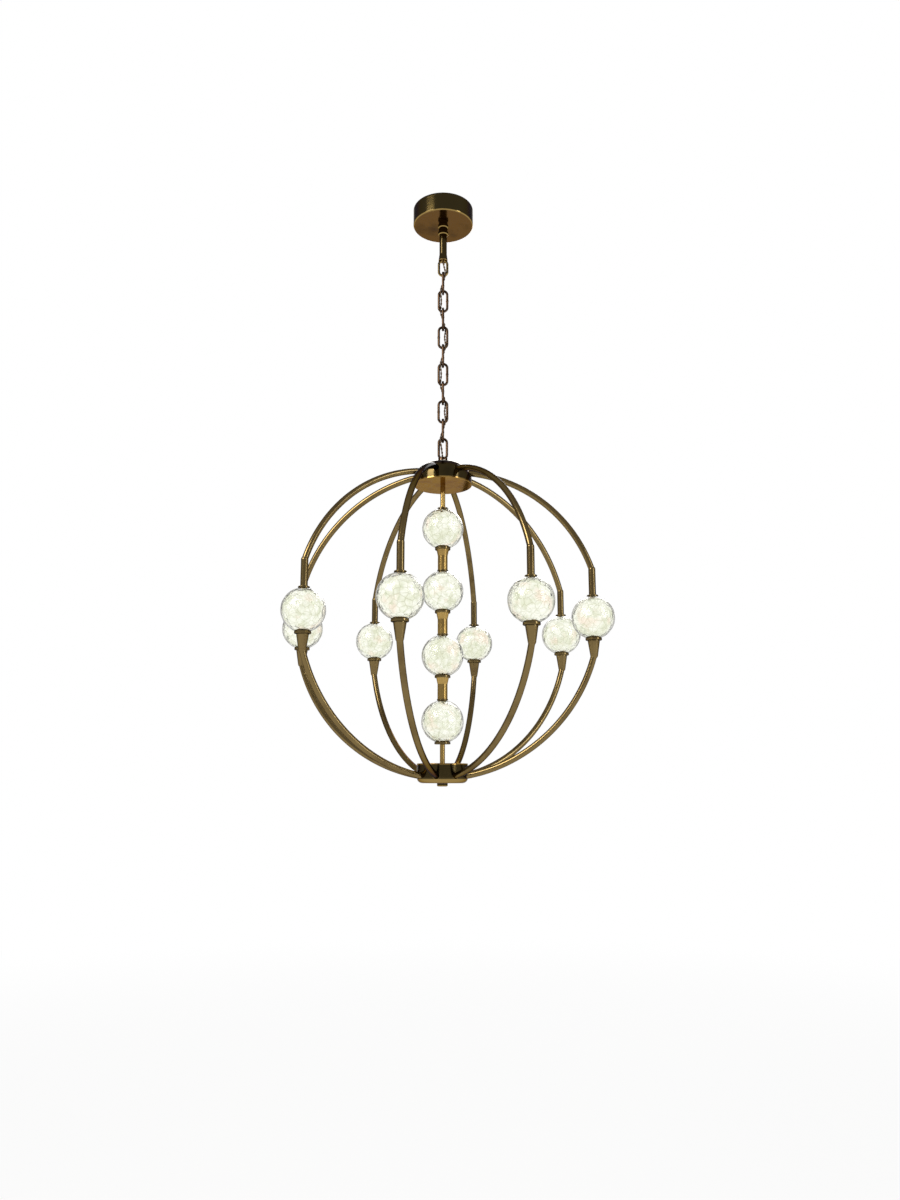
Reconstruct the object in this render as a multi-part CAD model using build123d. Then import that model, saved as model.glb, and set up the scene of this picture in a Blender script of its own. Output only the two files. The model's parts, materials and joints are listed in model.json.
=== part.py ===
from build123d import *
import os
from math import acos, cos, degrees, pi, radians, sin

# Orb chandelier. Millimetres, +Z up, origin at the ceiling plane on the hanging axis, -Y to the front.

# canopy on the ceiling
canopy_r = 61.6
canopy_h = 40.0
canopy_wall = 1.2
canopy_lower_edge_r = 3.0
canopy_upper_edge_r = 5.0
canopy_hole_clear = 0.35

# ceiling bar and the threaded tube that carries everything
bar_length = 104.0
bar_width = 18.0
bar_thick = 2.5
bar_end_r = 4.0
slot_spacing = 88.9
slot_width = 5.0
slot_length = 11.0
nipple_r = 5.0
nipple_bore_r = 3.2
nipple_grip = 14.0
nut_across = 17.0
nut_h = 3.0
thread_clear = 0.1

# stem with the eye that the chain hangs in
stem_r = 7.6
stem_head = 12.0
stem_drop = 78.0
stem_edge = 1.0
bell_r = 9.6
bell_h = 15.0
eye_wire = 5.0
eye_inner_w = 12.0
eye_inner_l = 28.2
eye_sink = 1.5
ring_outer_r = 10.5
ring_waist_r = 9.0
ring_h = 20.0
ring_flange_h = 3.0
ring_bead_h = 8.0
ring_slope = 1.5
ring_clear = 0.3

# chain
link_wire = 5.0
link_inner_w = 12.0
link_inner_l = 40.0
link_count = 9
link_gap = 0.3

# supply cable
cable_r = 2.0
cable_clear = 0.6
cable_bore_clear = 0.5
cable_swing = 0.25
cable_joint_r = 14.0
cable_middle_r = 24.0
cable_entry_r = 14.0

# loop on top of the orb
loop_wire = 5.0
loop_inner_w = 11.0
loop_inner_l = 36.0
loop_collar_r = 9.5
loop_collar_h = 10.7
loop_stub_r = 6.0
loop_stub_l = 30.0
running_clear = 0.08
face_gap = 0.3

# upper hub
hub_r = 56.9
hub_h = 47.0
hub_rim_h = 12.0
hub_neck_r = 9.0
hub_wall = 1.5
hub_plate_h = 2.5
hub_plate_edge_r = 0.8
hub_core_gap = 10.9
hub_core_top = 8.0
hub_core_edge_r = 2.0
dome_hole_clear = 0.5

# orb
upper_arc_swell = 14.1
hub_crown_drop = 26.0
lower_arc_swell = 11.1
lower_arc_in = 6.0
lower_arc_down = 12.0
ring_r = 285.9
arm_count = 8
arm_phase = 31.0
tube_r = 5.8
tube_wall = 1.0
socket_clear = 0.1
socket_depth = 6.0
upper_sleeve_r = 6.6
lower_sleeve_r = 7.2
cup_r = 11.0
cup_lip = 2.0

# globes
globe_r = 40.0
globe_wall = 2.5
globe_foot_hole_r = 13.5
globe_head_hole_r = 9.5
globe_clear = 0.35
globe_drop = 1.75
column_pitch = 124.33
column_count = 4

# carrier inside each globe, cap on top, lamp and lamp holder
seat_r = 15.0
seat_h = 4.0
seat_boss_h = 6.0
rod_r = 1.2
rod_foot_r = 10.6
rod_head_r = 6.6
head_plate_r = 8.4
head_plate_h = 2.5
cap_r = 10.5
cap_h = 2.5
cap_plug_h = 3.4
wire_hole_r = 3.0
single_wire_hole_r = 0.9
single_wire_spread = 3.6
holder_w = 17.0
holder_d = 11.5
holder_h = 18.0
holder_edge_r = 3.0
lamp_r = 5.8
lamp_l = 34.0

# middle column
column_tube_r = 4.75
column_tube_bore_r = 3.6
column_sleeve_r = 9.5
column_sleeve_flare_r = 12.0
column_sleeve_flare_h = 12.0
column_sleeve_wall = 1.3

# lower hub
foot_r = 47.5
foot_h = 36.0
foot_wall = 1.5
foot_edge_r = 10.0
foot_plate_h = 2.3
foot_plate_edge_r = 0.8
foot_core_gap = 8.5
foot_core_edge_r = 3.0
foot_stem_depth = 9.6
foot_crown_rise = 51.0
finial_r = 10.0
finial_h = 6.0
finial_edge_r = 2.5

# the boss in each hub, inside its wall
hub_core_r = hub_r - hub_core_gap
foot_core_r = foot_r - foot_core_gap

# arcs of the arms: both swell past the ring of globes, and each hub hangs by the crown of its arcs
orb_r = ring_r + upper_arc_swell
lower_arc_r = ring_r + lower_arc_in + lower_arc_swell
hub_underside_z = orb_r - hub_crown_drop
foot_top_z = foot_crown_rise - lower_arc_r - lower_arc_down

# heights that follow from the sizes above, all from the ceiling plane
stem_bottom_z = -canopy_h - stem_drop
eye_floor_z = stem_bottom_z - eye_sink - eye_inner_l
eye_wire_z = eye_floor_z - eye_wire / 2
link_pitch = link_inner_l - link_gap
first_link_z = eye_floor_z + link_gap - link_inner_l / 2
last_link_z = first_link_z - (link_count - 1) * link_pitch
last_wire_z = last_link_z - link_inner_l / 2 - link_wire / 2
loop_ceiling_z = last_link_z - link_inner_l / 2 + link_gap
loop_bottom_z = loop_ceiling_z - loop_inner_l
collar_bottom_z = loop_bottom_z - loop_collar_h
dome_top_z = collar_bottom_z - face_gap
hub_floor_z = dome_top_z - hub_h
orb_z = hub_floor_z - hub_underside_z

os.makedirs("parts", exist_ok=True)


def turned(points):
    """A solid of revolution about Z through (radius, height) points."""
    line = Polyline(*[(r, 0, z) for r, z in points], close=True)
    return revolve(make_face(line), Axis.Z)


def rod(radius, z_low, z_high):
    """A round bar on the Z axis between two heights."""
    return Pos(0, 0, z_low) * Cylinder(radius, z_high - z_low, align=(Align.CENTER, Align.CENTER, Align.MIN))


def oval(wire, inner_w, inner_l):
    """A closed oval of round wire in the XZ plane, centred on the origin."""
    wire_r = wire / 2
    bow_r = inner_w / 2 + wire_r
    straight = inner_l / 2 - inner_w / 2
    side = extrude(Pos(bow_r, 0, -straight) * Circle(wire_r), 2 * straight)
    section = Pos(bow_r, 0, 0) * Circle(wire_r)
    bow = revolve(section, Axis((0, 0, 0), (0, -1, 0)), 180)
    upper = Pos(0, 0, straight) * bow
    lower = Rot(180, 0, 0) * upper
    return side + Rot(0, 0, 180) * side + upper + lower


def keep(solid, node):
    """Write one node of the chandelier."""
    solid.label = node
    export_step(solid, os.path.join("parts", node + ".step"))
    return solid


# ceiling bar: flat steel, two slots for the ceiling screws, a tapped hole in the middle
bar = Pos(0, 0, -bar_thick) * extrude(RectangleRounded(bar_length, bar_width, bar_end_r), bar_thick)
slot_tool = Pos(0, 0, -2 * bar_thick) * extrude(SlotOverall(slot_length, slot_width), 3 * bar_thick)
for side in (-1, 1):
    bar -= Pos(side * slot_spacing / 2, 0, 0) * slot_tool
bar -= rod(nipple_r + thread_clear, -2 * bar_thick, bar_thick)
keep(bar, "crossbar")

# threaded tube: flush with the bar on top, its lower end screwed into the stem
stem_top_z = -canopy_h + stem_head
nipple_foot_z = stem_top_z - nipple_grip
nipple = rod(nipple_r, nipple_foot_z, 0) - rod(nipple_bore_r, nipple_foot_z - 1, 1)
keep(nipple, "crossbar_nipple")

# two hexagon nuts, one locked under the bar and one locked down on the stem
nut = extrude(RegularPolygon(nut_across / 2, 6, major_radius=False), nut_h)
nut -= rod(nipple_r + thread_clear, -1, nut_h + 1)
nuts = [Pos(0, 0, -bar_thick - nut_h) * nut, Pos(0, 0, stem_top_z) * nut]
keep(Compound(children=nuts), "nipple_nuts")

# canopy: spun drum, open on top, with rolled edges and a hole round the stem
canopy = rod(canopy_r, -canopy_h, 0)
canopy = fillet(canopy.edges().group_by(Axis.Z)[0], canopy_lower_edge_r)
canopy = fillet(canopy.edges().group_by(Axis.Z)[-1], canopy_upper_edge_r)
hollow = rod(canopy_r - canopy_wall, -canopy_h + canopy_wall, -canopy_wall)
hollow = fillet(hollow.edges().group_by(Axis.Z)[0], canopy_lower_edge_r - canopy_wall)
hollow = fillet(hollow.edges().group_by(Axis.Z)[-1], canopy_upper_edge_r - canopy_wall)
canopy -= hollow
canopy -= rod(canopy_r - canopy_upper_edge_r, -canopy_h / 2, canopy_wall)
canopy -= rod(stem_r + canopy_hole_clear, -canopy_h - 1, -canopy_h / 2)
keep(canopy, "canopy")

# slip ring that holds the canopy up
ring_top_z = -canopy_h
ring_foot_z = ring_top_z - ring_h
ring_bore_r = stem_r + ring_clear
flange = [(ring_bore_r, ring_top_z), (ring_outer_r, ring_top_z), (ring_outer_r, ring_top_z - ring_flange_h)]
waist = [(ring_waist_r, ring_top_z - ring_flange_h - ring_slope), (ring_waist_r, ring_foot_z + ring_bead_h)]
bead = [(ring_outer_r, ring_foot_z + ring_bead_h - ring_slope), (ring_outer_r, ring_foot_z + ring_slope)]
ring_end = [(ring_outer_r - ring_slope, ring_foot_z), (ring_bore_r, ring_foot_z)]
keep(turned(flange + waist + bead + ring_end), "canopy_ring")

# stem and eye: a turned stem that widens to a bell at its mouth, and a forged eye that faces the front
eye_mid_z = eye_floor_z + eye_inner_l / 2
eye = Pos(0, 0, eye_mid_z) * oval(eye_wire, eye_inner_w, eye_inner_l)
stem = rod(stem_r, stem_bottom_z, stem_top_z)
stem = chamfer(stem.edges().group_by(Axis.Z)[-1], stem_edge)
bell_top_z = stem_bottom_z + bell_h
bell = turned([(0, stem_bottom_z), (bell_r, stem_bottom_z), (stem_r, bell_top_z), (0, bell_top_z)])
bell = fillet(bell.edges().group_by(Axis.Z)[0], stem_edge)
canopy_loop = stem + bell + eye
canopy_loop -= rod(nipple_r + thread_clear, nipple_foot_z, stem_top_z + 1)
canopy_loop -= rod(cable_r + cable_bore_clear, stem_bottom_z - 2 * eye_wire, stem_top_z)
keep(canopy_loop, "canopy_loop")

# chain: nine oval links, each a quarter turn from the piece above
link = oval(link_wire, link_inner_w, link_inner_l)
link_z = [first_link_z - i * link_pitch for i in range(link_count)]
for i, z in enumerate(link_z):
    turn = 90 * ((i + 1) % 2)
    keep(Pos(0, 0, z) * Rot(0, 0, turn) * link, "chain_link_%02d" % (i + 1))

# loop on the orb: an oval eye on a turned collar, with a stub that goes down into the hub
loop_mid_z = loop_ceiling_z - loop_inner_l / 2
loop_turn = 90 * ((link_count + 1) % 2)
loop_eye = Pos(0, 0, loop_mid_z) * Rot(0, 0, loop_turn) * oval(loop_wire, loop_inner_w, loop_inner_l)
collar = rod(loop_collar_r, collar_bottom_z, loop_bottom_z)
collar = fillet(collar.edges().group_by(Axis.Z)[-1], loop_collar_h / 3)
stub = rod(loop_stub_r, collar_bottom_z - loop_stub_l, collar_bottom_z)
hub_loop = loop_eye + collar + stub
hub_loop -= rod(cable_r + cable_bore_clear, collar_bottom_z - loop_stub_l - 1, loop_bottom_z + loop_wire / 2)
keep(hub_loop, "hub_loop")


# both bends as (centre radius, centre height, arc radius), drawn above the ring plane
upper_arc = (0.0, 0.0, orb_r)
lower_arc = (-lower_arc_in, -lower_arc_down, lower_arc_r)


def arc_angle(arc, reach):
    """Elevation in degrees, about the arc's centre, of its point at a distance from the axis."""
    return degrees(acos((reach - arc[0]) / arc[2]))


def arc_height(arc, reach):
    """Height of the arc over the ring plane at a distance from the axis."""
    return arc[1] + arc[2] * sin(radians(arc_angle(arc, reach)))


def arc_bar(arc, radius, reach):
    """A round bar in the XZ plane along the arc, from the globe ring in to a distance from the axis."""
    low = arc_angle(arc, ring_r)
    start = (ring_r, 0, arc_height(arc, ring_r))
    along = (-sin(radians(low)), 0, cos(radians(low)))
    section = Plane(origin=start, x_dir=(0, 1, 0), z_dir=along) * Circle(radius)
    hinge = Axis((arc[0], 0, arc[1]), (0, -1, 0))
    return revolve(section, hinge, arc_angle(arc, reach) - low)


# one arm: an arc of tube from the hub, a small elbow and an upright sleeve over the globe
tube_bore_r = tube_r - tube_wall
sleeve_foot_z = globe_r - globe_clear + cap_h
seat_under_z = -globe_r + globe_drop - seat_h
hub_reach = hub_core_r - socket_depth
foot_reach = foot_core_r - socket_depth


def arm(arc, reach, sleeve_end_z, sleeve_r, end_r, lip):
    """An arm above the ring plane. Its sleeve tapers from a lip at the globe to the elbow."""
    elbow_z = arc_height(arc, ring_r)
    elbow = Pos(ring_r, 0, elbow_z)
    body = arc_bar(arc, tube_r, reach)
    body += elbow * Sphere(sleeve_r)
    low = sleeve_end_z
    sleeve = turned([(0, low), (end_r, low), (end_r, low + lip), (sleeve_r, elbow_z), (0, elbow_z)])
    body += Pos(ring_r, 0, 0) * sleeve
    body -= arc_bar(arc, tube_bore_r, reach)
    body -= elbow * Sphere(tube_bore_r)
    body -= Pos(ring_r, 0, 0) * rod(tube_bore_r, sleeve_end_z, elbow_z)
    return body


upper_arm = arm(upper_arc, hub_reach, sleeve_foot_z, upper_sleeve_r, upper_sleeve_r, cup_lip)
lower_arm = Rot(180, 0, 0) * arm(lower_arc, foot_reach, -seat_under_z, lower_sleeve_r, cup_r, cup_lip)
upper_socket = arc_bar(upper_arc, tube_r + socket_clear, hub_reach)
lower_socket = Rot(180, 0, 0) * arc_bar(lower_arc, tube_r + socket_clear, foot_reach)
upper_window = arc_bar(upper_arc, tube_r + dome_hole_clear, hub_reach)
lower_window = Rot(180, 0, 0) * arc_bar(lower_arc, tube_r + dome_hole_clear, foot_reach)
arm_angles = [arm_phase + 360 * i / arm_count for i in range(arm_count)]
orb_frame = Pos(0, 0, orb_z)

# upper hub: a cored boss with a socket for each arm, under a spun dome and over a polished plate
plate_top_z = hub_underside_z + hub_plate_h
hub_top_z = hub_underside_z + hub_h
core_top_z = arc_height(upper_arc, hub_reach) + hub_core_top
stub_foot_z = hub_top_z + face_gap - loop_stub_l
stem_head_z = stub_foot_z - face_gap
hub_body = rod(hub_core_r, plate_top_z, core_top_z)
hub_body = fillet(hub_body.edges().group_by(Axis.Z)[-1], hub_core_edge_r)
hub_body -= rod(loop_stub_r + running_clear, stem_head_z, core_top_z + 1)
hub_body -= rod(column_tube_r, plate_top_z - 1, stem_head_z)
dome_rise = hub_h - hub_rim_h
dome_reach = hub_r - hub_neck_r
spring_z = hub_underside_z + hub_rim_h


def dome_solid(wall):
    """Outside of the dome, or its inside when wall is given."""
    reach = dome_reach - wall
    rise = dome_rise - wall
    start = (hub_neck_r + reach, 0, spring_z)
    top = (hub_neck_r, 0, spring_z + rise)
    curve = EllipticalCenterArc((hub_neck_r, spring_z), reach, rise, start_angle=0, arc_size=90)
    curve = Plane.XZ * curve
    foot_z = plate_top_z - wall
    walls = Polyline(top, (0, 0, top[2]), (0, 0, foot_z), (start[0], 0, foot_z), start)
    return revolve(make_face([curve, walls]), Axis.Z)


hub_dome = dome_solid(0) - dome_solid(hub_wall)
hub_dome -= rod(hub_r * 2, plate_top_z - 2 * hub_wall, plate_top_z)
hub_dome -= rod(loop_stub_r + dome_hole_clear, spring_z, hub_top_z + 1)
for angle in arm_angles:
    hub_body -= Rot(0, 0, angle) * upper_socket
    hub_dome -= Rot(0, 0, angle) * upper_window
hub_plate = rod(hub_r, hub_underside_z, plate_top_z)
hub_plate = fillet(hub_plate.edges().group_by(Axis.Z)[0], hub_plate_edge_r)
hub_plate -= rod(column_tube_r, hub_underside_z - 1, plate_top_z + 1)
keep(orb_frame * hub_body, "hub_body")
keep(orb_frame * hub_dome, "hub_dome")
keep(orb_frame * hub_plate, "hub_base_plate")

# lower hub: a cored boss in a drum with a rounded lower edge, a top plate and a finial nut
foot_floor_z = foot_top_z - foot_h
foot_plate_z = foot_top_z - foot_plate_h
foot_body = rod(foot_core_r, foot_floor_z + foot_wall, foot_plate_z)
foot_body = fillet(foot_body.edges().group_by(Axis.Z)[0], foot_core_edge_r)
stem_foot_z = foot_plate_z - foot_stem_depth
foot_body -= rod(column_tube_r, stem_foot_z, foot_plate_z + 1)
foot_cover = rod(foot_r, foot_floor_z, foot_plate_z)
foot_cover = fillet(foot_cover.edges().group_by(Axis.Z)[0], foot_edge_r)
foot_hollow = rod(foot_r - foot_wall, foot_floor_z + foot_wall, foot_top_z)
foot_hollow = fillet(foot_hollow.edges().group_by(Axis.Z)[0], foot_edge_r - foot_wall)
foot_cover -= foot_hollow
for angle in arm_angles:
    foot_body -= Rot(0, 0, angle) * lower_socket
    foot_cover -= Rot(0, 0, angle) * lower_window
foot_plate = rod(foot_r, foot_plate_z, foot_top_z)
foot_plate = fillet(foot_plate.edges().group_by(Axis.Z)[-1], foot_plate_edge_r)
foot_plate -= rod(column_tube_r, foot_plate_z - 1, foot_top_z + 1)
finial = rod(finial_r, foot_floor_z - finial_h, foot_floor_z)
finial = fillet(finial.edges().group_by(Axis.Z)[0], finial_edge_r)
keep(orb_frame * foot_body, "foot_body")
keep(orb_frame * foot_cover, "foot_cover")
keep(orb_frame * foot_plate, "foot_top_plate")
keep(orb_frame * finial, "foot_finial")

# arms
for i, angle in enumerate(arm_angles):
    keep(orb_frame * Rot(0, 0, angle) * upper_arm, "upper_arm_%d" % (i + 1))
    keep(orb_frame * Rot(0, 0, angle) * lower_arm, "lower_arm_%d" % (i + 1))

# a globe: blown shell with a wide mouth below and a narrow one above
globe = Sphere(globe_r) - Sphere(globe_r - globe_wall)
globe -= rod(globe_foot_hole_r, -globe_r, 0)
globe -= rod(globe_head_hole_r, 0, globe_r)

# the carrier under and inside it: seat, boss, two leaning rods and a head plate
seat_top_z = seat_under_z + seat_h
boss_top_z = seat_top_z + seat_boss_h
cap_under_z = sleeve_foot_z - cap_h
plug_foot_z = cap_under_z - cap_plug_h
carrier = rod(seat_r, seat_under_z, seat_top_z)
carrier = fillet(carrier.edges().group_by(Axis.Z)[0], seat_h / 4)
carrier += rod(globe_foot_hole_r - globe_clear, seat_top_z, boss_top_z)
carrier += rod(head_plate_r, plug_foot_z - head_plate_h, plug_foot_z)
rod_low = boss_top_z - 1
rod_high = plug_foot_z - head_plate_h + 1
lean = (rod_foot_r - rod_head_r) / (rod_high - rod_low)
for side in (-1, 1):
    foot = Vector(0, side * rod_foot_r, rod_low)
    head = Vector(0, side * rod_head_r, rod_high)
    carrier += extrude(Plane(origin=foot, z_dir=head - foot) * Circle(rod_r), (head - foot).length)
carrier -= rod(wire_hole_r, seat_under_z - 1, boss_top_z + 1)
wire_pass = rod(single_wire_hole_r, plug_foot_z - head_plate_h - 1, plug_foot_z + 1)
for side in (-1, 1):
    carrier -= Pos(side * single_wire_spread / 2, 0, 0) * wire_pass

# the cap on its head, the ceramic holder and the capsule lamp
cap = rod(cap_r, cap_under_z, sleeve_foot_z)
cap = fillet(cap.edges().group_by(Axis.Z)[-1], cap_h / 3)
cap += rod(globe_head_hole_r - globe_clear, plug_foot_z, cap_under_z)
cap -= rod(wire_hole_r, plug_foot_z - 1, sleeve_foot_z + 1)
holder = extrude(Pos(0, 0, boss_top_z) * RectangleRounded(holder_w, holder_d, holder_edge_r), holder_h)
lamp_foot_z = boss_top_z + holder_h
lamp = rod(lamp_r, lamp_foot_z, lamp_foot_z + lamp_l)
lamp = fillet(lamp.edges().group_by(Axis.Z)[-1], lamp_r * 0.9)
lamp = fillet(lamp.edges().group_by(Axis.Z)[0], lamp_r / 4)

# where the twelve globes sit: eight on the ring, four on the column
ring_places = [orb_frame * Rot(0, 0, angle) * Pos(ring_r, 0, 0) for angle in arm_angles]
column_z = [column_pitch * ((column_count - 1) / 2 - i) for i in range(column_count)]
column_places = [orb_frame * Rot(0, 0, arm_phase) * Pos(0, 0, z) for z in column_z]
places = ring_places + column_places
for i, place in enumerate(ring_places):
    keep(place * globe, "ring_globe_%d" % (i + 1))
for i, place in enumerate(column_places):
    keep(place * globe, "column_globe_%d" % (i + 1))
keep(Compound(children=[place * carrier for place in places]), "globe_carriers")
keep(Compound(children=[place * cap for place in places]), "globe_caps")
keep(Compound(children=[place * holder for place in places]), "lamp_holders")
keep(Compound(children=[place * lamp for place in places]), "lamps")

# column: a tube from the hub, a flared sleeve between neighbours and a tube to the lower hub
head_z = column_z[0] + sleeve_foot_z
upper_tube = rod(column_tube_r, head_z, stem_head_z) - rod(column_tube_bore_r, head_z - 1, stem_head_z + 1)
foot_z = column_z[-1] + seat_under_z
lower_tube = rod(column_tube_r, stem_foot_z, foot_z) - rod(column_tube_bore_r, stem_foot_z - 1, foot_z + 1)
keep(orb_frame * upper_tube, "column_stem_upper")
keep(orb_frame * lower_tube, "column_stem_lower")
sleeve_high = seat_under_z
sleeve_low = sleeve_foot_z - column_pitch
taper_z = sleeve_high - column_sleeve_flare_h
inner_flare_r = column_sleeve_flare_r - column_sleeve_wall
inner_sleeve_r = column_sleeve_r - column_sleeve_wall
outside = [(column_sleeve_flare_r, sleeve_high), (column_sleeve_r, taper_z), (column_sleeve_r, sleeve_low)]
inside = [(inner_sleeve_r, sleeve_low), (inner_sleeve_r, taper_z), (inner_flare_r, sleeve_high)]
column_sleeve = turned(outside + inside)
keep(Compound(children=[place * column_sleeve for place in column_places[:-1]]), "column_sleeves")

# supply cable: down the stem, woven from corner to corner of the chain, into the loop's collar
joint_z = [eye_floor_z + link_gap / 2]
joint_z += [z - link_inner_l / 2 + link_gap / 2 for z in link_z]
corners = [(1, -1), (-1, -1), (-1, 1), (1, 1)]
corner = link_wire / 2 + cable_r + cable_clear + cable_swing
middle = link_inner_w / 2 - cable_r - cable_clear
route = [(0, 0, nipple_foot_z + nipple_grip / 2), (0, 0, stem_bottom_z - eye_wire - 1)]
bends = [cable_entry_r]
for i, z in enumerate(joint_z):
    sx, sy = corners[i % 4]
    if i:
        # half way down a link the cable crosses its plane, close along the wire
        across = (0, sy * middle) if i % 2 else (sx * middle, 0)
        route.append((*across, (z + joint_z[i - 1]) / 2))
        bends.append(cable_middle_r)
    route.append((sx * corner, sy * corner, z))
    bends.append(cable_joint_r)
route += [(0, 0, loop_bottom_z + loop_wire), (0, 0, collar_bottom_z - loop_stub_l / 2)]
bends.append(cable_entry_r)
path = FilletPolyline(*route, radius=bends)
section = Plane(origin=path @ 0, z_dir=path % 0) * Circle(cable_r)
cable = sweep(section, path)
keep(cable, "supply_cable")
print("cable bends", bends)
print("cable volume over section times length", cable.volume / (pi * cable_r**2 * path.length))
print("ring plane", round(orb_z, 2), "foot", round(orb_z + foot_floor_z - finial_h, 2))
print("joints", round(eye_wire_z, 3), [round(z - link_inner_l / 2 - link_wire / 2, 3) for z in link_z])
print("levels", round(hub_floor_z, 2), round(dome_top_z, 2))
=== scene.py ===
import bmesh
import bpy
import json
import math
import random
from mathutils import Matrix, Vector
from mathutils.kdtree import KDTree


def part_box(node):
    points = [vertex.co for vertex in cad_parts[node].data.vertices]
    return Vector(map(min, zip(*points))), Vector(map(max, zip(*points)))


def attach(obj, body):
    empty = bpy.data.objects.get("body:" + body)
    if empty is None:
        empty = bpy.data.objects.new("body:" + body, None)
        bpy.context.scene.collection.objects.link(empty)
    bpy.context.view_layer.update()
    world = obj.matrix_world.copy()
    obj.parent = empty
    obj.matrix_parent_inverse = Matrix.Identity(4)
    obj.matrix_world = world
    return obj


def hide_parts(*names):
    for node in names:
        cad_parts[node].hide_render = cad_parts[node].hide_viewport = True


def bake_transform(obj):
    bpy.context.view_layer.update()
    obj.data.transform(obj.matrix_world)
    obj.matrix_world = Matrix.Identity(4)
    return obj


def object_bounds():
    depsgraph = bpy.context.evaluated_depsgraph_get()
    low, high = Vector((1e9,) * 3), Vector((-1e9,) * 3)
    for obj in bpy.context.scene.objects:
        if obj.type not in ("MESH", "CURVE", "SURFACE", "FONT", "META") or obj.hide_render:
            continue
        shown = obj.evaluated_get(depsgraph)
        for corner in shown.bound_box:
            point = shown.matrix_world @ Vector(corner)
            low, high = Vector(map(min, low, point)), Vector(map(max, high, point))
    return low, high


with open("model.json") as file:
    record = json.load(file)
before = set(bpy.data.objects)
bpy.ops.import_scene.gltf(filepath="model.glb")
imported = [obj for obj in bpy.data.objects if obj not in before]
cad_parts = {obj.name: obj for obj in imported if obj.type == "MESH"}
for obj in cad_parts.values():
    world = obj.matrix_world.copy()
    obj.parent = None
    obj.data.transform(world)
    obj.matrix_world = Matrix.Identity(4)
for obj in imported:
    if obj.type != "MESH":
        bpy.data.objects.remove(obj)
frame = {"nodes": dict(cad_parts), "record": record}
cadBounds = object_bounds()
mm = 0.001

# camera: found from the centres of the twelve globes in the photograph
photoCamera = {
    "place": (0.0, -1.798, -1.1632),
    "tiltUp": 10.59,
    "roll": -0.45,
    "lens": 28.56,
    "sensor": 36.0,
}

# stage: a pale floor well below the lamp, white all round, three soft lamps
stageSet = {
    "floorDrop": 0.95,
    "floorSize": 60.0,
    "floorShade": (0.86, 0.86, 0.85, 1),
    "floorGlow": 0.88,
    "floorFade": (2.2, 5.0),
    "roomShade": 0.42,
    "backdropEdge": (0.62, 0.95),
    "lamps": [  # name, place, aim, size, watts, colour
        ("keyLamp", (-2.2, -1.9, 0.9), (0, 0, -0.7), (1.4, 1.4), 62, (1, 0.97, 0.92)),
        ("fillLamp", (2.4, -1.6, 0.0), (0, 0, -0.8), (0.5, 2.2), 20, (0.96, 0.98, 1)),
        ("backLamp", (0.6, 2.4, 0.8), (0, 0, -0.8), (1.8, 0.9), 30, (1, 1, 1)),
    ],
}


def makeCamera():
    c = photoCamera
    data = bpy.data.cameras.new("photoCamera")
    data.sensor_width = c["sensor"]
    data.lens = c["lens"]
    cam = bpy.data.objects.new("photoCamera", data)
    cam.location = c["place"]
    cam.rotation_euler = (math.radians(90 + c["tiltUp"]), 0, math.radians(c["roll"]))
    bpy.context.scene.collection.objects.link(cam)
    bpy.context.scene.camera = cam


def addNode(tree, kind, values=None, **settings):
    # one shader node: a value that is a socket is linked, any other is set
    node = tree.nodes.new(kind)
    for key, value in settings.items():
        setattr(node, key, value)
    for key, value in (values or {}).items():
        if isinstance(value, bpy.types.NodeSocket):
            tree.links.new(value, node.inputs[key])
        else:
            node.inputs[key].default_value = value
    return node


def mathNode(tree, operation, a, b, clamp=False):
    values = {0: a, 1: b}
    return addNode(tree, "ShaderNodeMath", values, operation=operation, use_clamp=clamp).outputs[0]


def mixColours(tree, share, a, b):
    # the mix node's colour sockets are numbers 6 and 7, and 2 among its outputs
    return addNode(tree, "ShaderNodeMix", {0: share, 6: a, 7: b}, data_type="RGBA").outputs[2]


def remap(tree, value, low, high, toLow=0.0, toHigh=1.0):
    values = dict(enumerate((value, low, high, toLow, toHigh)))
    return addNode(tree, "ShaderNodeMapRange", values, interpolation_type="SMOOTHSTEP").outputs[0]


def objectPlace(tree):
    return addNode(tree, "ShaderNodeTexCoord").outputs["Object"]


def vectorLength(tree, vector):
    return addNode(tree, "ShaderNodeVectorMath", {0: vector}, operation="LENGTH").outputs["Value"]


def finishTree(tree, shader, kind):
    out = addNode(tree, kind)
    tree.links.new(shader.outputs[0], out.inputs["Surface"])


def rgb(*steps):
    # the photograph's 0 to 255 steps, as the linear values that a shader takes
    shares = [step / 255 for step in steps]
    linear = [c / 12.92 if c <= 0.04045 else ((c + 0.055) / 1.055) ** 2.4 for c in shares]
    return (*linear, 1.0)


def makeWorld():
    # white to the eye and through glass, white behind the lamp in reflections, grey room light
    world = bpy.data.worlds.new("studio")
    world.use_nodes = True
    bpy.context.scene.world = world
    tree = world.node_tree
    tree.nodes.clear()
    path = addNode(tree, "ShaderNodeLightPath").outputs
    where = addNode(tree, "ShaderNodeTexCoord").outputs["Generated"]
    axes = addNode(tree, "ShaderNodeSeparateXYZ", {0: where})
    behind = remap(tree, axes.outputs["Y"], *stageSet["backdropEdge"])
    glossy = mathNode(tree, "MULTIPLY", path["Is Glossy Ray"], behind)
    seen = mathNode(tree, "MAXIMUM", path["Is Camera Ray"], path["Is Transmission Ray"])
    seen = mathNode(tree, "MAXIMUM", seen, glossy)
    roomColour = (stageSet["roomShade"],) * 3 + (1,)
    room = addNode(tree, "ShaderNodeBackground", {"Color": roomColour, "Strength": 1.0})
    white = addNode(tree, "ShaderNodeBackground", {"Color": (1, 1, 1, 1), "Strength": 1.0})
    mix = addNode(tree, "ShaderNodeMixShader", {0: seen, 1: room.outputs[0], 2: white.outputs[0]})
    finishTree(tree, mix, "ShaderNodeOutputWorld")


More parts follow.
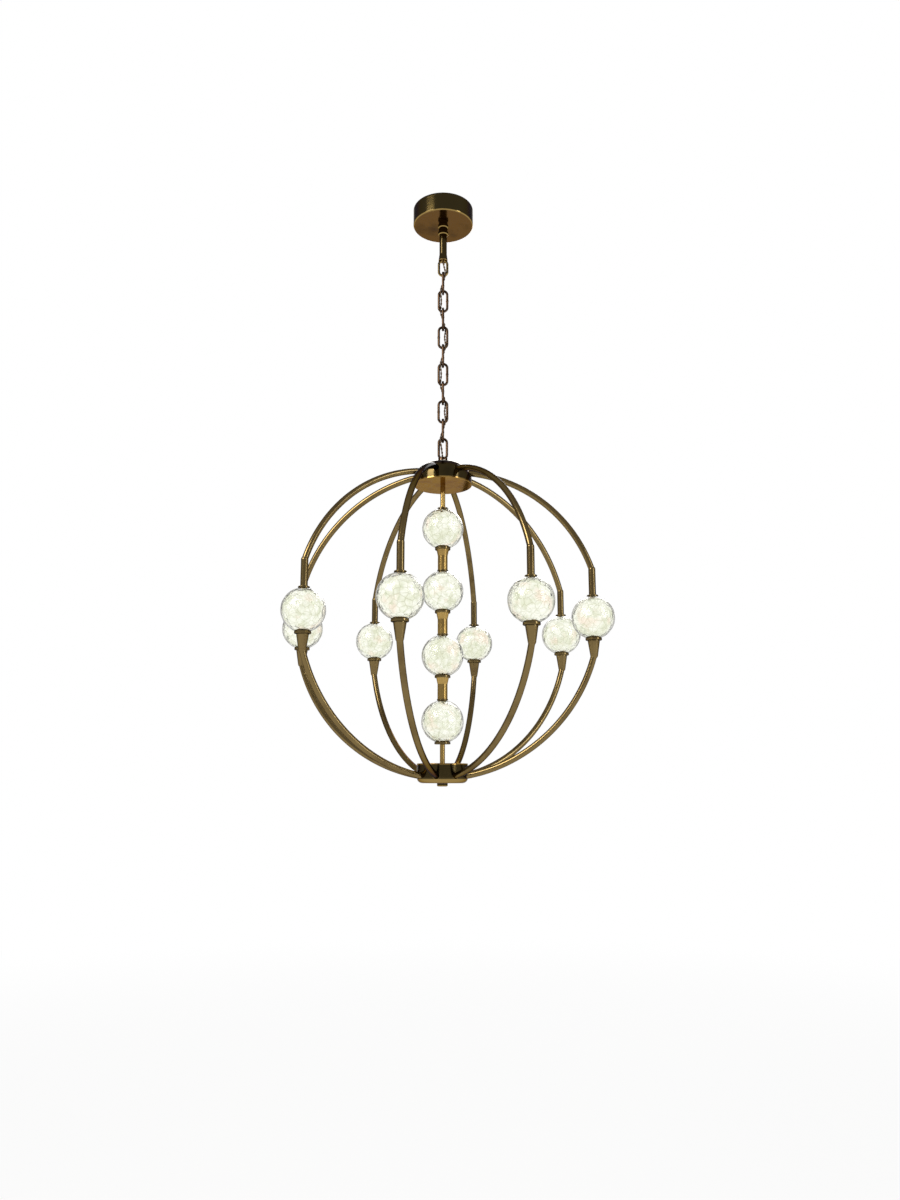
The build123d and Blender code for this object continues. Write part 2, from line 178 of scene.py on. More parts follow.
def makeFloor():
    # matt for shadows, and fading to plain white further off
    half = stageSet["floorSize"] / 2
    level = cadBounds[0].z - stageSet["floorDrop"]
    corners = [(x * half, y * half, level) for x, y in ((-1, -1), (1, -1), (1, 1), (-1, 1))]
    mesh = bpy.data.meshes.new("floor")
    mesh.from_pydata(corners, [], [(0, 1, 2, 3)])
    floor = bpy.data.objects.new("floor", mesh)
    bpy.context.scene.collection.objects.link(floor)
    paint = bpy.data.materials.new("floorPaint")
    paint.use_nodes = True
    tree = paint.node_tree
    tree.nodes.clear()
    path = addNode(tree, "ShaderNodeLightPath").outputs
    seen = mathNode(tree, "MAXIMUM", path["Is Camera Ray"], path["Is Glossy Ray"])
    seen = mathNode(tree, "MAXIMUM", seen, path["Is Transmission Ray"])
    far = vectorLength(tree, objectPlace(tree))
    fade = remap(tree, far, *stageSet["floorFade"], stageSet["floorGlow"], 1.0)
    share = mathNode(tree, "MULTIPLY", seen, fade)
    matt = addNode(tree, "ShaderNodeBsdfDiffuse", {"Color": stageSet["floorShade"]})
    glow = addNode(tree, "ShaderNodeEmission", {"Color": (1, 1, 1, 1), "Strength": 1.0})
    mix = addNode(tree, "ShaderNodeMixShader", {0: share, 1: matt.outputs[0], 2: glow.outputs[0]})
    finishTree(tree, mix, "ShaderNodeOutputMaterial")
    mesh.materials.append(paint)


def makeLamps():
    for name, place, aim, size, watts, colour in stageSet["lamps"]:
        data = bpy.data.lights.new(name, "AREA")
        data.shape = "RECTANGLE"
        data.size, data.size_y = size
        data.energy = watts
        data.color = colour
        lamp = bpy.data.objects.new(name, data)
        lamp.location = place
        lamp.rotation_euler = (Vector(aim) - Vector(place)).to_track_quat("-Z", "Y").to_euler()
        bpy.context.scene.collection.objects.link(lamp)


bpy.context.scene.view_settings.view_transform = "Standard"
makeCamera()
makeWorld()
makeFloor()
makeLamps()
print("camera, floor and lamps set")


def newGroup(name, inputs, outputs):
    group = bpy.data.node_groups.new(name, "ShaderNodeTree")
    for label, value in inputs.items():
        socket = group.interface.new_socket(label, in_out="INPUT", socket_type="NodeSocketFloat")
        socket.default_value = value
    for label in outputs:
        group.interface.new_socket(label, in_out="OUTPUT", socket_type="NodeSocketFloat")
    given = group.nodes.new("NodeGroupInput").outputs
    result = group.nodes.new("NodeGroupOutput").inputs
    return group, given, result


def noiseAt(tree, place, scale, detail=3.0, roughness=0.55):
    values = {"Vector": place, "Scale": scale, "Detail": detail, "Roughness": roughness}
    return addNode(tree, "ShaderNodeTexNoise", values).outputs["Fac"]


# rubbed edges: where a rounded-over normal departs from the real one, broken up by noise
wearLook = {"samples": 4, "spotDetail": 4.0, "spotEdge": (0.35, 0.62)}


def makeEdgeWear():
    w = wearLook
    group, given, result = newGroup(
        "edgeWear", {"Radius": 0.001, "Break Up": 60.0, "Reach": 0.25}, ["Mask"])
    soft = addNode(group, "ShaderNodeBevel", {"Radius": given["Radius"]}, samples=w["samples"])
    true = addNode(group, "ShaderNodeNewGeometry")
    normals = {0: soft.outputs[0], 1: true.outputs["Normal"]}
    alike = addNode(group, "ShaderNodeVectorMath", normals, operation="DOT_PRODUCT")
    bent = mathNode(group, "SUBTRACT", 1.0, alike.outputs["Value"], clamp=True)
    spots = noiseAt(group, objectPlace(group), given["Break Up"], w["spotDetail"])
    spread = mathNode(group, "DIVIDE", bent, given["Reach"], clamp=True)
    worn = mathNode(group, "MULTIPLY", spread, remap(group, spots, *w["spotEdge"]), clamp=True)
    group.links.new(worn, result["Mask"])
    return group


# cloudy browning with small dark specks, for every metal finish
tarnishLook = {
    "cloudDetail": 5.0,
    "cloudRoughness": 0.6,
    "bareLevel": 0.72,  # noise above this browns where nothing is covered
    "coverReach": 0.5,  # how far full cover lowers that level
    "contrast": 2.6,
    "speckDetail": 2.0,
    "speckEdge": (0.63, 0.74),
    "speckHeight": 0.5,
}


def makeTarnish():
    t = tarnishLook
    group, given, result = newGroup(
        "tarnish", {"Clouds": 30.0, "Specks": 900.0, "Cover": 0.5}, ["Mask", "Specks", "Height"])
    place = objectPlace(group)
    clouds = noiseAt(group, place, given["Clouds"], t["cloudDetail"], t["cloudRoughness"])
    fine = noiseAt(group, place, given["Specks"], t["speckDetail"])
    covered = mathNode(group, "MULTIPLY", given["Cover"], t["coverReach"])
    level = mathNode(group, "SUBTRACT", t["bareLevel"], covered)
    above = mathNode(group, "SUBTRACT", clouds, level)
    mask = mathNode(group, "MULTIPLY", above, t["contrast"], clamp=True)
    group.links.new(mask, result["Mask"])
    group.links.new(remap(group, fine, *t["speckEdge"]), result["Specks"])
    group.links.new(mathNode(group, "MULTIPLY", fine, t["speckHeight"]), result["Height"])
    return group


# the fine rings that spinning and polishing leave round a vertical axis
spunLook = {"lineDetail": 3.0, "driftScale": 40.0, "driftDetail": 2.0}


def makeSpunLines():
    s = spunLook
    group, given, result = newGroup("spunLines", {"Pitch": 0.0008, "Waver": 0.25}, ["Height"])
    axes = addNode(group, "ShaderNodeSeparateXYZ", {0: objectPlace(group)}).outputs
    flat = addNode(group, "ShaderNodeCombineXYZ", {"X": axes["X"], "Y": axes["Y"]}).outputs[0]
    along = mathNode(group, "ADD", vectorLength(group, flat), axes["Z"])
    turns = mathNode(group, "DIVIDE", along, given["Pitch"])
    values = {"W": turns, "Scale": 1.0, "Detail": s["lineDetail"]}
    line = addNode(group, "ShaderNodeTexNoise", values, noise_dimensions="1D").outputs["Fac"]
    drift = noiseAt(group, objectPlace(group), s["driftScale"], s["driftDetail"])
    sums = {0: drift, 1: given["Waver"], 2: line}
    height = addNode(group, "ShaderNodeMath", sums, operation="MULTIPLY_ADD").outputs[0]
    group.links.new(height, result["Height"])
    return group


def makeFacingDown():
    # what looks down, and the rolled edge between that and an upright wall
    # both masks are used to paint light: a lighter underside and a highlight on the rolled edge
    group, given, result = newGroup(
        "facingDown", {"Edge From": 0.25, "Edge To": 0.92}, ["Under", "Edge"])
    normal = addNode(group, "ShaderNodeTexCoord").outputs["Normal"]
    axes = addNode(group, "ShaderNodeSeparateXYZ", {0: normal})
    down = mathNode(group, "MULTIPLY", axes.outputs["Z"], -1.0)
    turned = mathNode(group, "GREATER_THAN", down, given["Edge From"])
    under = mathNode(group, "GREATER_THAN", down, given["Edge To"])
    group.links.new(under, result["Under"])
    group.links.new(mathNode(group, "SUBTRACT", turned, under, clamp=True), result["Edge"])
    return group


edgeWear = makeEdgeWear()
tarnish = makeTarnish()
spunLines = makeSpunLines()
facingDown = makeFacingDown()


def useGroup(tree, group, **values):
    named = {label.capitalize(): value for label, value in values.items()}
    return addNode(tree, "ShaderNodeGroup", named, node_tree=group).outputs


def newMaterial(name):
    material = bpy.data.materials.new(name)
    material.use_nodes = True
    tree = material.node_tree
    return material, tree, tree.nodes["Principled BSDF"].inputs


def addBump(tree, shader, height, strength, distance):
    values = {"Height": height, "Strength": strength, "Distance": distance}
    bump = addNode(tree, "ShaderNodeBump", values)
    tree.links.new(bump.outputs["Normal"], shader["Normal"])


# brass, bronze and steel: the metal, its tarnish, the colour of its rubbed edges (which on bronze
# also paints a highlight on the rolled edge), how bright it stays where it turns away, how much is
# tarnished, roughness from bare to tarnished, lacquer, width of the worn edge, depth of the
# spinning rings, fineness of the clouds
metalFinish = {
    "bronze": dict(
        base=rgb(70, 58, 28), dark=rgb(40, 33, 15), rubbedAndHighlight=rgb(186, 154, 88), grazing=0.3,
        under=rgb(102, 74, 40), rolled=0.55,  # underside lighter, partly for its polish and partly as painted light reflected from below; a painted highlight on its rolled edge
        cover=0.4, rough=(0.13, 0.28), coat=0.2, edge=0.0012, spun=0.12, clouds=18.0),
    "polished_brass": dict(
        base=rgb(158, 124, 62), dark=rgb(112, 76, 32), rubbedAndHighlight=rgb(222, 184, 112), grazing=0.4,
        cover=0.5, rough=(0.12, 0.26), coat=0.2, edge=0.0008, spun=0.1, clouds=26.0),
    "antique_brass": dict(
        base=rgb(124, 105, 66), dark=rgb(72, 56, 34), rubbedAndHighlight=rgb(206, 186, 138), grazing=0.08,
        cover=0.45, rough=(0.18, 0.34), coat=0.1, edge=0.0006, spun=0.0, clouds=14.0),
    # painted light: a brighter copy of the antique brass, standing in for the globes' glow on the
    # column
    "column_brass_painted_lit": dict(
        base=rgb(178, 147, 84), dark=rgb(128, 98, 50), rubbedAndHighlight=rgb(232, 206, 140), grazing=0.2,
        cover=0.4, rough=(0.18, 0.32), coat=0.15, edge=0.0006, spun=0.05, clouds=24.0),
    "chain_bronze": dict(
        base=rgb(80, 60, 42), dark=rgb(42, 31, 22), rubbedAndHighlight=rgb(168, 138, 102), grazing=0.12,
        cover=0.5, rough=(0.22, 0.42), coat=0.1, edge=0.0005, spun=0.0, clouds=60.0),
    "zinc_steel": dict(
        base=rgb(176, 178, 176), dark=rgb(120, 122, 118), rubbedAndHighlight=rgb(206, 208, 206), grazing=0.8,
        cover=0.4, rough=(0.3, 0.5), coat=0.0, edge=0.0006, spun=0.0, clouds=120.0),
    "hub_core": dict(
        base=rgb(120, 96, 60), dark=rgb(60, 46, 28), rubbedAndHighlight=rgb(168, 140, 90), grazing=0.6,
        cover=0.6, rough=(0.35, 0.6), coat=0.0, edge=0.0008, spun=0.0, clouds=60.0),
}

# what all the metals share
metalSurface = {
    "speckShare": 0.6,
    "wearReach": 0.2,
    "bumpStrength": 0.12,
    "bumpDistance": 0.0001,
    "grazingTint": (1.0, 0.86, 0.66),
    "coatRoughness": 0.12,
}


def makeMetal(name, finish):
    m = metalSurface
    material, tree, shader = newMaterial(name)
    clouds = useGroup(tree, tarnish, clouds=finish["clouds"], cover=finish["cover"])
    worn = useGroup(tree, edgeWear, radius=finish["edge"], reach=m["wearReach"])
    base = finish["base"]
    # painted light: faces that look down take a lighter base colour, partly for the polish and
    # partly standing in for light reflected from below
    if "under" in finish:
        facing = useGroup(tree, facingDown)
        base = mixColours(tree, facing["Under"], base, finish["under"])
    colour = mixColours(tree, clouds["Mask"], base, finish["dark"])
    specks = mathNode(tree, "MULTIPLY", clouds["Specks"], m["speckShare"])
    colour = mixColours(tree, specks, colour, finish["dark"])
    colour = mixColours(tree, worn["Mask"], colour, finish["rubbedAndHighlight"])
    # painted highlight: the rolled edge between wall and underside takes the rubbed colour
    if "under" in finish:
        rolled = mathNode(tree, "MULTIPLY", facing["Edge"], finish["rolled"])
        colour = mixColours(tree, rolled, colour, finish["rubbedAndHighlight"])
    tree.links.new(colour, shader["Base Color"])
    rough = remap(tree, clouds["Mask"], 0.0, 1.0, *finish["rough"])
    tree.links.new(rough, shader["Roughness"])
    height = clouds["Height"]
    if finish["spun"]:
        height = mathNode(tree, "ADD", height, useGroup(tree, spunLines)["Height"])
    addBump(tree, shader, height, m["bumpStrength"] + finish["spun"], m["bumpDistance"])
    shader["Metallic"].default_value = 1.0
    tint = tuple(finish["grazing"] * share for share in m["grazingTint"]) + (1,)
    shader["Specular Tint"].default_value = tint
    shader["Coat Weight"].default_value = finish["coat"]
    shader["Coat Roughness"].default_value = m["coatRoughness"]
    return material


# crackled bubble glass: clear, with painted shade darkening its tint where it turns away, so that
# its rim is a thin dark line
glassFinish = {
    "clear": rgb(246, 246, 240),
    "crack": rgb(222, 222, 208),
    "rimShade": rgb(70, 62, 48),
    "rimShadeFrom": (0.5, 0.86),
    "cellSize": 95.0,
    "crackWidth": 0.1,
    "seedSize": 330.0,
    "seedEdge": (0.12, 0.42),
    "seedDepth": 0.7,
    "relief": 0.22,
    "reliefDepth": 0.0005,
    "roughness": 0.03,
    "ior": 1.48,
}


def makeClearGlass():
    g = glassFinish
    material, tree, shader = newMaterial("crackleGlass")
    place = objectPlace(tree)
    cellValues = {"Vector": place, "Scale": g["cellSize"], "Randomness": 1.0}
    seedValues = {"Vector": place, "Scale": g["seedSize"], "Randomness": 1.0}
    cells = addNode(tree, "ShaderNodeTexVoronoi", cellValues, feature="DISTANCE_TO_EDGE")
    bubbles = addNode(tree, "ShaderNodeTexVoronoi", seedValues)
    cracks = remap(tree, cells.outputs["Distance"], 0.0, g["crackWidth"])
    seeds = remap(tree, bubbles.outputs["Distance"], *g["seedEdge"])
    height = mathNode(tree, "ADD", cracks, mathNode(tree, "MULTIPLY", seeds, g["seedDepth"]))
    addBump(tree, shader, height, g["relief"], g["reliefDepth"])
    # painted shade: the tint turns dark where the surface turns away from the view, drawing the
    # rim line
    turned = addNode(tree, "ShaderNodeLayerWeight", {"Blend": 0.5}).outputs["Facing"]
    tint = mixColours(tree, cracks, g["crack"], g["clear"])
    tint = mixColours(tree, remap(tree, turned, *g["rimShadeFrom"]), tint, g["rimShade"])
    tree.links.new(tint, shader["Base Color"])
    shader["Transmission Weight"].default_value = 1.0
    shader["Roughness"].default_value = g["roughness"]
    shader["IOR"].default_value = g["ior"]
    return material


# the lit inside of a globe: near white, mottled with leaf green, cream and blush
# each mottle: noise scale, detail and roughness, where it starts and is full, its most
glowFinish = {
    "milky": rgb(226, 229, 210),
    "white": rgb(252, 253, 248),
    "blush": rgb(252, 232, 220),
    "leaf": rgb(206, 216, 188),
    "whiteMottle": (46.0, 4.0, 0.6, 0.38, 0.56, 1.0),
    "blushMottle": (30.0, 2.0, 0.55, 0.54, 0.7, 0.8),
    "leafMottle": (95.0, 3.0, 0.55, 0.56, 0.72, 0.7),
    "fleckScale": 190.0,
    "fleckEdge": (0.1, 0.6),
    "fleckShare": 0.22,
    "unlit": rgb(84, 84, 78),
    "strength": 1.1,
    "roughness": 0.5,
}


def makeGlow():
    g = glowFinish
    material, tree, shader = newMaterial("globeGlow")
    place = objectPlace(tree)
    colour = g["milky"]
    for tone in ("white", "blush", "leaf"):
        scale, detail, roughness, low, high, most = g[tone + "Mottle"]
        spread = noiseAt(tree, place, scale, detail, roughness)
        colour = mixColours(tree, remap(tree, spread, low, high, 0.0, most), colour, g[tone])
    fleckValues = {"Vector": place, "Scale": g["fleckScale"]}
    cells = addNode(tree, "ShaderNodeTexVoronoi", fleckValues, feature="F1")
    flecks = remap(tree, cells.outputs["Distance"], *g["fleckEdge"])
    share = mathNode(tree, "MULTIPLY", flecks, g["fleckShare"])
    colour = mixColours(tree, share, colour, g["milky"])
    tree.links.new(colour, shader["Emission Color"])
    shader["Base Color"].default_value = g["unlit"]
    shader["Emission Strength"].default_value = g["strength"]
    shader["Roughness"].default_value = g["roughness"]
    return material


# lamp holders, lamps and the cable's sheath: mottle is how dark the clouds get
plainSurface = {
    "mottleDetail": 4.0,
    "mottleEdge": (0.35, 0.65),
    "roughEdge": (0.3, 0.7),
    "roughSwing": (1.3, 0.8),
    "bumpStrength": 0.2,
}
plainFinish = {
    "ceramic": dict(name="ceramic", colour=rgb(236, 232, 222), rough=0.35,
                    mottleScale=90.0, mottle=0.06, bumpDistance=0.0001),
    "lamp_glass": dict(name="lampGlass", colour=rgb(244, 240, 226), rough=0.25,
                       mottleScale=60.0, mottle=0.05, bumpDistance=0.0001),
    "cable": dict(name="cable", colour=rgb(104, 80, 50), rough=0.3,
                  mottleScale=220.0, mottle=0.3, bumpDistance=0.0002),
}


def makePlain(finish):
    p = plainSurface
    material, tree, shader = newMaterial(finish["name"])
    spread = noiseAt(tree, objectPlace(tree), finish["mottleScale"], p["mottleDetail"])
    dark = tuple(c * (1 - finish["mottle"]) for c in finish["colour"][:3]) + (1.0,)
    colour = mixColours(tree, remap(tree, spread, *p["mottleEdge"]), dark, finish["colour"])
    tree.links.new(colour, shader["Base Color"])
    ends = [finish["rough"] * swing for swing in p["roughSwing"]]
    tree.links.new(remap(tree, spread, *p["roughEdge"], *ends), shader["Roughness"])
    addBump(tree, shader, spread, p["bumpStrength"], finish["bumpDistance"])
    return material


finishes = {name: makeMetal(name, finish) for name, finish in metalFinish.items()}
finishes["crackle_glass"] = makeClearGlass()
finishes["globe_glow"] = makeGlow()
finishes.update({name: makePlain(finish) for name, finish in plainFinish.items()})
print("materials made:", len(finishes))


def dressFrame():
    # every node takes the material of its slot, but the column takes a brighter copy of the brass,
    # painted light standing in for the globes' glow on it
    for part in frame["record"]["subparts"]:
        onColumn = part["node"].startswith(("column_stem", "column_sleeve"))
        mesh = frame["nodes"][part["node"]].data
        mesh.materials.clear()
        mesh.materials.append(finishes["column_brass_painted_lit" if onColumn else part["material_slot"]])


dressFrame()


def makeObject(name, verts, faces, materials, faceSlots=None):
    mesh = bpy.data.meshes.new(name)
    mesh.from_pydata([tuple(v) for v in verts], [], faces)
    for material in materials:
        mesh.materials.append(material)
    if faceSlots:
        mesh.polygons.foreach_set("material_index", faceSlots)
    mesh.polygons.foreach_set("use_smooth", [True] * len(mesh.polygons))
    mesh.update()
    piece = bpy.data.objects.new(name, mesh)
    bpy.context.scene.collection.objects.link(piece)
    return piece


def circle(sides):
    turns = [2 * math.pi * k / sides for k in range(sides)]
    return [(math.cos(turn), math.sin(turn)) for turn in turns]


def ringFaces(starts, sides):
    # four-sided faces between neighbouring rings of points, each known by its first point
    return [(a + k, a + (k + 1) % sides, b + (k + 1) % sides, b + k)
            for a, b in zip(starts, starts[1:]) for k in range(sides)]


# blown globes, sizes in metres as the solids have them
globe = {
    "radius": 0.040,
    "wall": 0.0025,
    "lowerHole": 0.0135,
    "upperHole": 0.0095,
    "liningRadius": 0.0366,
    "liningWall": 0.0005,
    "sides": 128,
    "rows": 64,
    "dimples": 230,
    "dimpleDepth": 0.00045,
    "dimpleSpan": 0.0052,
    "smoothRim": 0.12,  # radians beside each hole without dimples
    "turnEach": 2.4,  # radians from one globe to the next
    "seed": 7,
}


def rimAngles(radius):
    return -math.acos(globe["lowerHole"] / radius), math.acos(globe["upperHole"] / radius)


def shellRows(radius, count):
    low, high = rimAngles(radius)
    return [low + (high - low) * i / (count - 1) for i in range(count)]


def closedShell(outer, inner, rows, sides, relief=None):
    # an outer wall going up and an inner wall coming down, joined at both rims
    loops = [(outer, angle, 1) for angle in shellRows(outer, rows)]
    loops += [(inner, angle, -1) for angle in reversed(shellRows(inner, rows // 2))]
    verts = []
    for radius, angle, side in loops:
        flat, rise = math.cos(angle), math.sin(angle)
        for x, y in circle(sides):
            out = Vector((flat * x, flat * y, rise))
            verts.append(out * (radius + (relief(out, side) if relief else 0.0)))
    starts = [i * sides for i in range(len(loops))]
    return verts, ringFaces(starts + starts[:1], sides)


def makeDimples():
    # a shallow hollow wherever a point on the globe lies near one of the random centres
    g = globe
    dice = random.Random(g["seed"])
    tree = KDTree(g["dimples"])
    for i in range(g["dimples"]):
        z = dice.uniform(-1, 1)
        turn = dice.uniform(0, 2 * math.pi)
        flat = math.sqrt(1 - z * z)
        tree.insert((flat * math.cos(turn), flat * math.sin(turn), z), i)
    tree.balance()
    rimLow, rimHigh = rimAngles(g["radius"])

    def relief(out, side):
        angle = math.asin(max(-1, min(1, out.z)))
        calm = min(1, (angle - rimLow) / g["smoothRim"], (rimHigh - angle) / g["smoothRim"])
        near = tree.find(out)[2] * g["radius"] / g["dimpleSpan"]
        hollow = max(0.0, 1 - near * near)
        return -max(0.0, calm) * g["dimpleDepth"] * hollow * hollow * side

    return relief


def makeGlobeMesh():
    # the glass with its dimples, and inside it the lining that glows
    g = globe
    verts, faces = closedShell(
        g["radius"], g["radius"] - g["wall"], g["rows"], g["sides"], makeDimples())
    more, moreFaces = closedShell(
        g["liningRadius"], g["liningRadius"] - g["liningWall"], g["rows"] // 2, g["sides"] // 2)
    slots = [0] * len(faces) + [1] * len(moreFaces)
    faces += [tuple(len(verts) + i for i in face) for face in moreFaces]
    return verts + more, faces, slots


def makeGlobes():
    verts, faces, slots = makeGlobeMesh()
    names = sorted(n for n in frame["nodes"] if n.startswith(("ring_globe", "column_globe")))
    materials = [finishes["crackle_glass"], finishes["globe_glow"]]
    rise = math.sqrt(globe["radius"] ** 2 - globe["lowerHole"] ** 2)
    for i, name in enumerate(names):
        low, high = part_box(name)
        centre = Vector(((low.x + high.x) / 2, (low.y + high.y) / 2, low.z + rise))
        turn = Matrix.Rotation(globe["turnEach"] * i, 3, "Z")
        placed = [turn @ v + centre for v in verts]
        piece = makeObject(name.replace("globe", "glass"), placed, faces, materials, slots)
        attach(piece, "orb")
        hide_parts(name)
    return len(names)


print("globes blown:", makeGlobes())

# supply cable, in millimetres: a twin lead, woven from corner to corner of the chain
cable = {
    "firstJoint": -147.55,
    "pitch": 39.7,
    "joints": 10,
    "corner": 6.0,
    "middle": 2.6,
    "top": (-35.0, -80.0, -124.0),
    "bottom": (-535.7, -566.4),
    "strandRadius": 0.98,
    "twist": 15.0,
    "sides": 10,
    "step": 1.3,
    "turnRoom": 9.0,
    "curveOrder": 3,
    "curveSteps": 16,
}


def cableRoute():
    c = cable
    corners = [(1, -1), (-1, -1), (-1, 1), (1, 1)]
    route = [(0, 0, z) for z in c["top"]]
    for i in range(c["joints"]):
        z = c["firstJoint"] - i * c["pitch"]
        sx, sy = corners[i % 4]
        if i:
            across = (0, sy * c["middle"]) if i % 2 else (sx * c["middle"], 0)
            route.append((*across, z + c["pitch"] / 2))
        route.append((sx * c["corner"], sy * c["corner"], z))
    return route + [(0, 0, z) for z in c["bottom"]]


def smoothLine(points, name):
    # points along a smooth spline, as the curve tool gives them
    curve = bpy.data.curves.new(name, "CURVE")
    curve.dimensions = "3D"
    spline = curve.splines.new("NURBS")
    spline.points.add(len(points) - 1)
    for point, place in zip(spline.points, points):
        point.co = (*[v * mm for v in place], 1)
    spline.order_u = cable["curveOrder"]
    spline.use_endpoint_u = True
    spline.resolution_u = cable["curveSteps"]
    guide = bpy.data.objects.new(name, curve)
    mesh = bpy.data.meshes.new_from_object(guide)
    line = [v.co.copy() for v in mesh.vertices]
    bpy.data.objects.remove(guide)
    bpy.data.curves.remove(curve)
    bpy.data.meshes.remove(mesh)
    return line


def evenLine(line, step):
    # the same line with evenly spaced points
    lengths = [0.0]
    for a, b in zip(line, line[1:]):
        lengths.append(lengths[-1] + (b - a).length)
    count = round(lengths[-1] / step)
    spaced, k = [], 0
    for i in range(count + 1):
        want = lengths[-1] * i / count
        while k < len(lengths) - 2 and lengths[k + 1] < want:
            k += 1
        share = (want - lengths[k]) / max(1e-9, lengths[k + 1] - lengths[k])
        spaced.append(line[k].lerp(line[k + 1], min(1.0, share)))
    return spaced


def carriedFrames(line):
    # a pair of sideways directions at each point, carried along without spinning
    frames = []
    side = Vector((1, 0, 0))
    for i in range(len(line)):
        along = (line[min(i + 1, len(line) - 1)] - line[max(i - 1, 0)]).normalized()
        side = (side - along * side.dot(along)).normalized()
        frames.append((side, along.cross(side)))
    return frames


def tubeAlong(centres, frames, radius, sides):
    # a closed tube round a line of centres
    verts = [centre + (across * x + up * y) * radius
             for centre, (across, up) in zip(centres, frames) for x, y in circle(sides)]
    last = (len(centres) - 1) * sides
    faces = ringFaces(range(0, last + 1, sides), sides)
    faces += [tuple(reversed(range(sides))), tuple(range(last, last + sides))]
    return verts, faces


def makeCable():
    # one piece between neighbouring link centres, each bending over the joint between them
    c = cable
    line = evenLine(smoothLine(cableRoute(), "cableGuide"), c["step"] * mm)
    frames = carriedFrames(line)
    radius = c["strandRadius"] * mm
    strands = []
    for startTurn in (0, math.pi):
        centres = []
        for i, (point, (across, up)) in enumerate(zip(line, frames)):
            turn = 2 * math.pi * i * c["step"] / c["twist"] + startTurn
            centres.append(point + (across * math.cos(turn) + up * math.sin(turn)) * radius)
        strands.append(centres)
    cuts = [(c["firstJoint"] - (i - 0.5) * c["pitch"]) * mm for i in range(1, c["joints"])]
    starts = [next(i for i, p in enumerate(line) if p.z < cut) for cut in cuts]
    starts = [0] + starts + [len(line) - 1]
    for n in range(c["joints"]):
        span = slice(starts[n], starts[n + 1] + 1)
        verts, faces = [], []
        for centres in strands:
            more, moreFaces = tubeAlong(centres[span], frames[span], radius, c["sides"])
            faces += [tuple(len(verts) + i for i in face) for face in moreFaces]
            verts += more
        piece = makeObject("cable_span_%02d" % (n + 1), verts, faces, [finishes["cable"]])
        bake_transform(piece)
        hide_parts("supply_cable")
    return c["joints"]


print("cable spans:", makeCable())

# weld bead round the closed side of each link, in millimetres
weld = {
    "wireRadius": 2.5,
    "inside": 2.3,
    "rise": 0.42,
    "roundness": 0.7,
    "halfLength": 2.2,
    "sideways": 8.5,
    "firstLink": -167.4,
    "pitch": 39.7,
    "links": 9,
    "sides": 40,
    "rows": 12,
    "wander": 0.12,
    "waves": 8,
    "seed": 21,
}


def makeWeld(w, n):
    # a swollen collar on link n, whose two edges wander up and down together
    dice = random.Random(w["seed"] + n)
    side = (1, 1, -1, -1)[(n - 1) % 4] * w["sideways"]
    x, y = (0, side) if n % 2 else (side, 0)
    middle = w["firstLink"] - (n - 1) * w["pitch"]
    steps = [-1 + 2 * i / w["rows"] for i in range(w["rows"] + 1)]
    profile = [(w["wireRadius"] + w["rise"] * (1 - t * t) ** w["roundness"], t * w["halfLength"])
               for t in steps]
    profile += [(w["inside"], w["halfLength"]), (w["inside"], -w["halfLength"])]
    wander = [dice.uniform(-w["wander"], w["wander"]) for _ in range(w["waves"])]
    verts = []
    for i, (radius, height) in enumerate(profile):
        for k, (cx, cy) in enumerate(circle(w["sides"])):
            turn = 2 * math.pi * k / w["sides"]
            shift = sum(a * math.sin((m + 1) * turn + m) for m, a in enumerate(wander))
            z = middle + height + (shift if i < len(steps) else 0)
            verts.append(Vector((x + radius * cx, y + radius * cy, z)) * mm)
    starts = [i * w["sides"] for i in range(len(profile))]
    faces = ringFaces(starts + starts[:1], w["sides"])
    return makeObject("weld_bead_%02d" % n, verts, faces, [finishes["chain_bronze"]])


for n in range(1, weld["links"] + 1):
    bead = makeWeld(weld, n)
    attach(bead, "link_%02d" % n)
print("weld beads:", weld["links"])

# threaded tube, in millimetres: a helical thread cut into it over its whole length
thread = {
    "crest": 5.0,
    "root": 4.55,
    "bore": 3.2,
    "top": 0.0,
    "foot": -42.0,
    "pitch": 1.5,
    "flankSlope": 1.5,
    "rootFlat": 0.25,
    "sides": 36,
    "perTurn": 6,
}


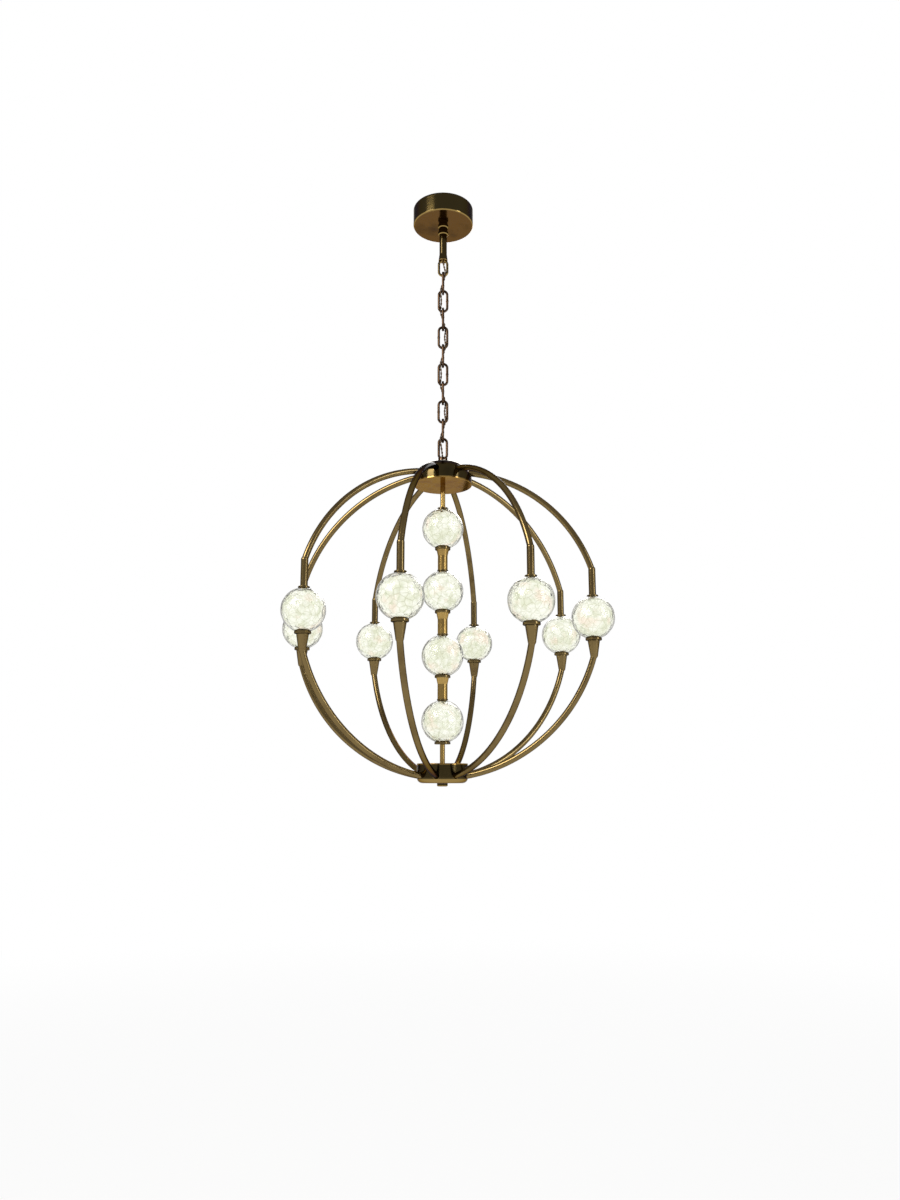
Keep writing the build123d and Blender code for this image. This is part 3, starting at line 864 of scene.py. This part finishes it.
def makeThreadedTube():
    t = thread
    sides = t["sides"]
    length = t["top"] - t["foot"]
    rows = round(length / t["pitch"] * t["perTurn"])
    verts = []
    for i in range(rows + 1):
        z = t["foot"] + length * i / rows
        for k, (x, y) in enumerate(circle(sides)):
            wave = abs(((z / t["pitch"] - k / sides) % 1.0) * 2 - 1)
            cut = min(1, max(0, wave * t["flankSlope"] - t["rootFlat"]))
            radius = t["root"] + (t["crest"] - t["root"]) * cut
            verts.append(Vector((radius * x, radius * y, z)) * mm)
    for z in (t["top"], t["foot"]):
        verts += [Vector((t["bore"] * x, t["bore"] * y, z)) * mm for x, y in circle(sides)]
    starts = [i * sides for i in range(rows + 3)]
    faces = ringFaces(starts + starts[:1], sides)
    piece = makeObject("threaded_tube", verts, faces, [finishes["zinc_steel"]])
    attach(piece, "ceiling_mount")
    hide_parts("crossbar_nipple")
    return rows


print("thread rows:", makeThreadedTube())

# set screw in the waist of the slip ring, at the back, with a slot across its round head
setScrew = {
    "height": -48.25,
    "seat": 8.6,
    "reach": 11.4,
    "radius": 1.9,
    "rounding": 0.7,
    "roundingSteps": (0.4, 0.8, 1.2, math.pi / 2),
    "crownRadii": (0.8, 0.35, 0.0),
    "slotWidth": 0.55,
    "slotDepth": 0.6,
    "slotFrom": 0.3,
    "sides": 40,
}


def weldMesh(piece, gap):
    # one closed skin with its normals outward
    work = bmesh.new()
    work.from_mesh(piece.data)
    bmesh.ops.remove_doubles(work, verts=work.verts, dist=gap)
    bmesh.ops.dissolve_degenerate(work, edges=work.edges, dist=gap)
    bmesh.ops.recalc_face_normals(work, faces=work.faces)
    work.to_mesh(piece.data)
    work.free()


def makeSetScrew():
    c = setScrew
    shoulder = c["reach"] - c["rounding"]
    flat = c["radius"] - c["rounding"]
    profile = [(0.0, c["seat"]), (c["radius"], c["seat"]), (c["radius"], shoulder)]
    profile += [(flat + c["rounding"] * math.cos(a), shoulder + c["rounding"] * math.sin(a))
                for a in c["roundingSteps"]]
    profile += [(radius, c["reach"]) for radius in c["crownRadii"]]
    verts = []
    for radius, out in profile:
        for x, z in circle(c["sides"]):
            inSlot = out > shoulder + c["slotFrom"] and abs(radius * z) < c["slotWidth"]
            place = (radius * x, out - (c["slotDepth"] if inSlot else 0), c["height"] + radius * z)
            verts.append(Vector(place) * mm)
    starts = [i * c["sides"] for i in range(len(profile))]
    faces = ringFaces(starts, c["sides"])
    piece = makeObject("ring_set_screw", verts, faces, [finishes["column_brass_painted_lit"]])
    weldMesh(piece, 0.001 * mm)
    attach(piece, "canopy")


makeSetScrew()
print("set screw fitted")
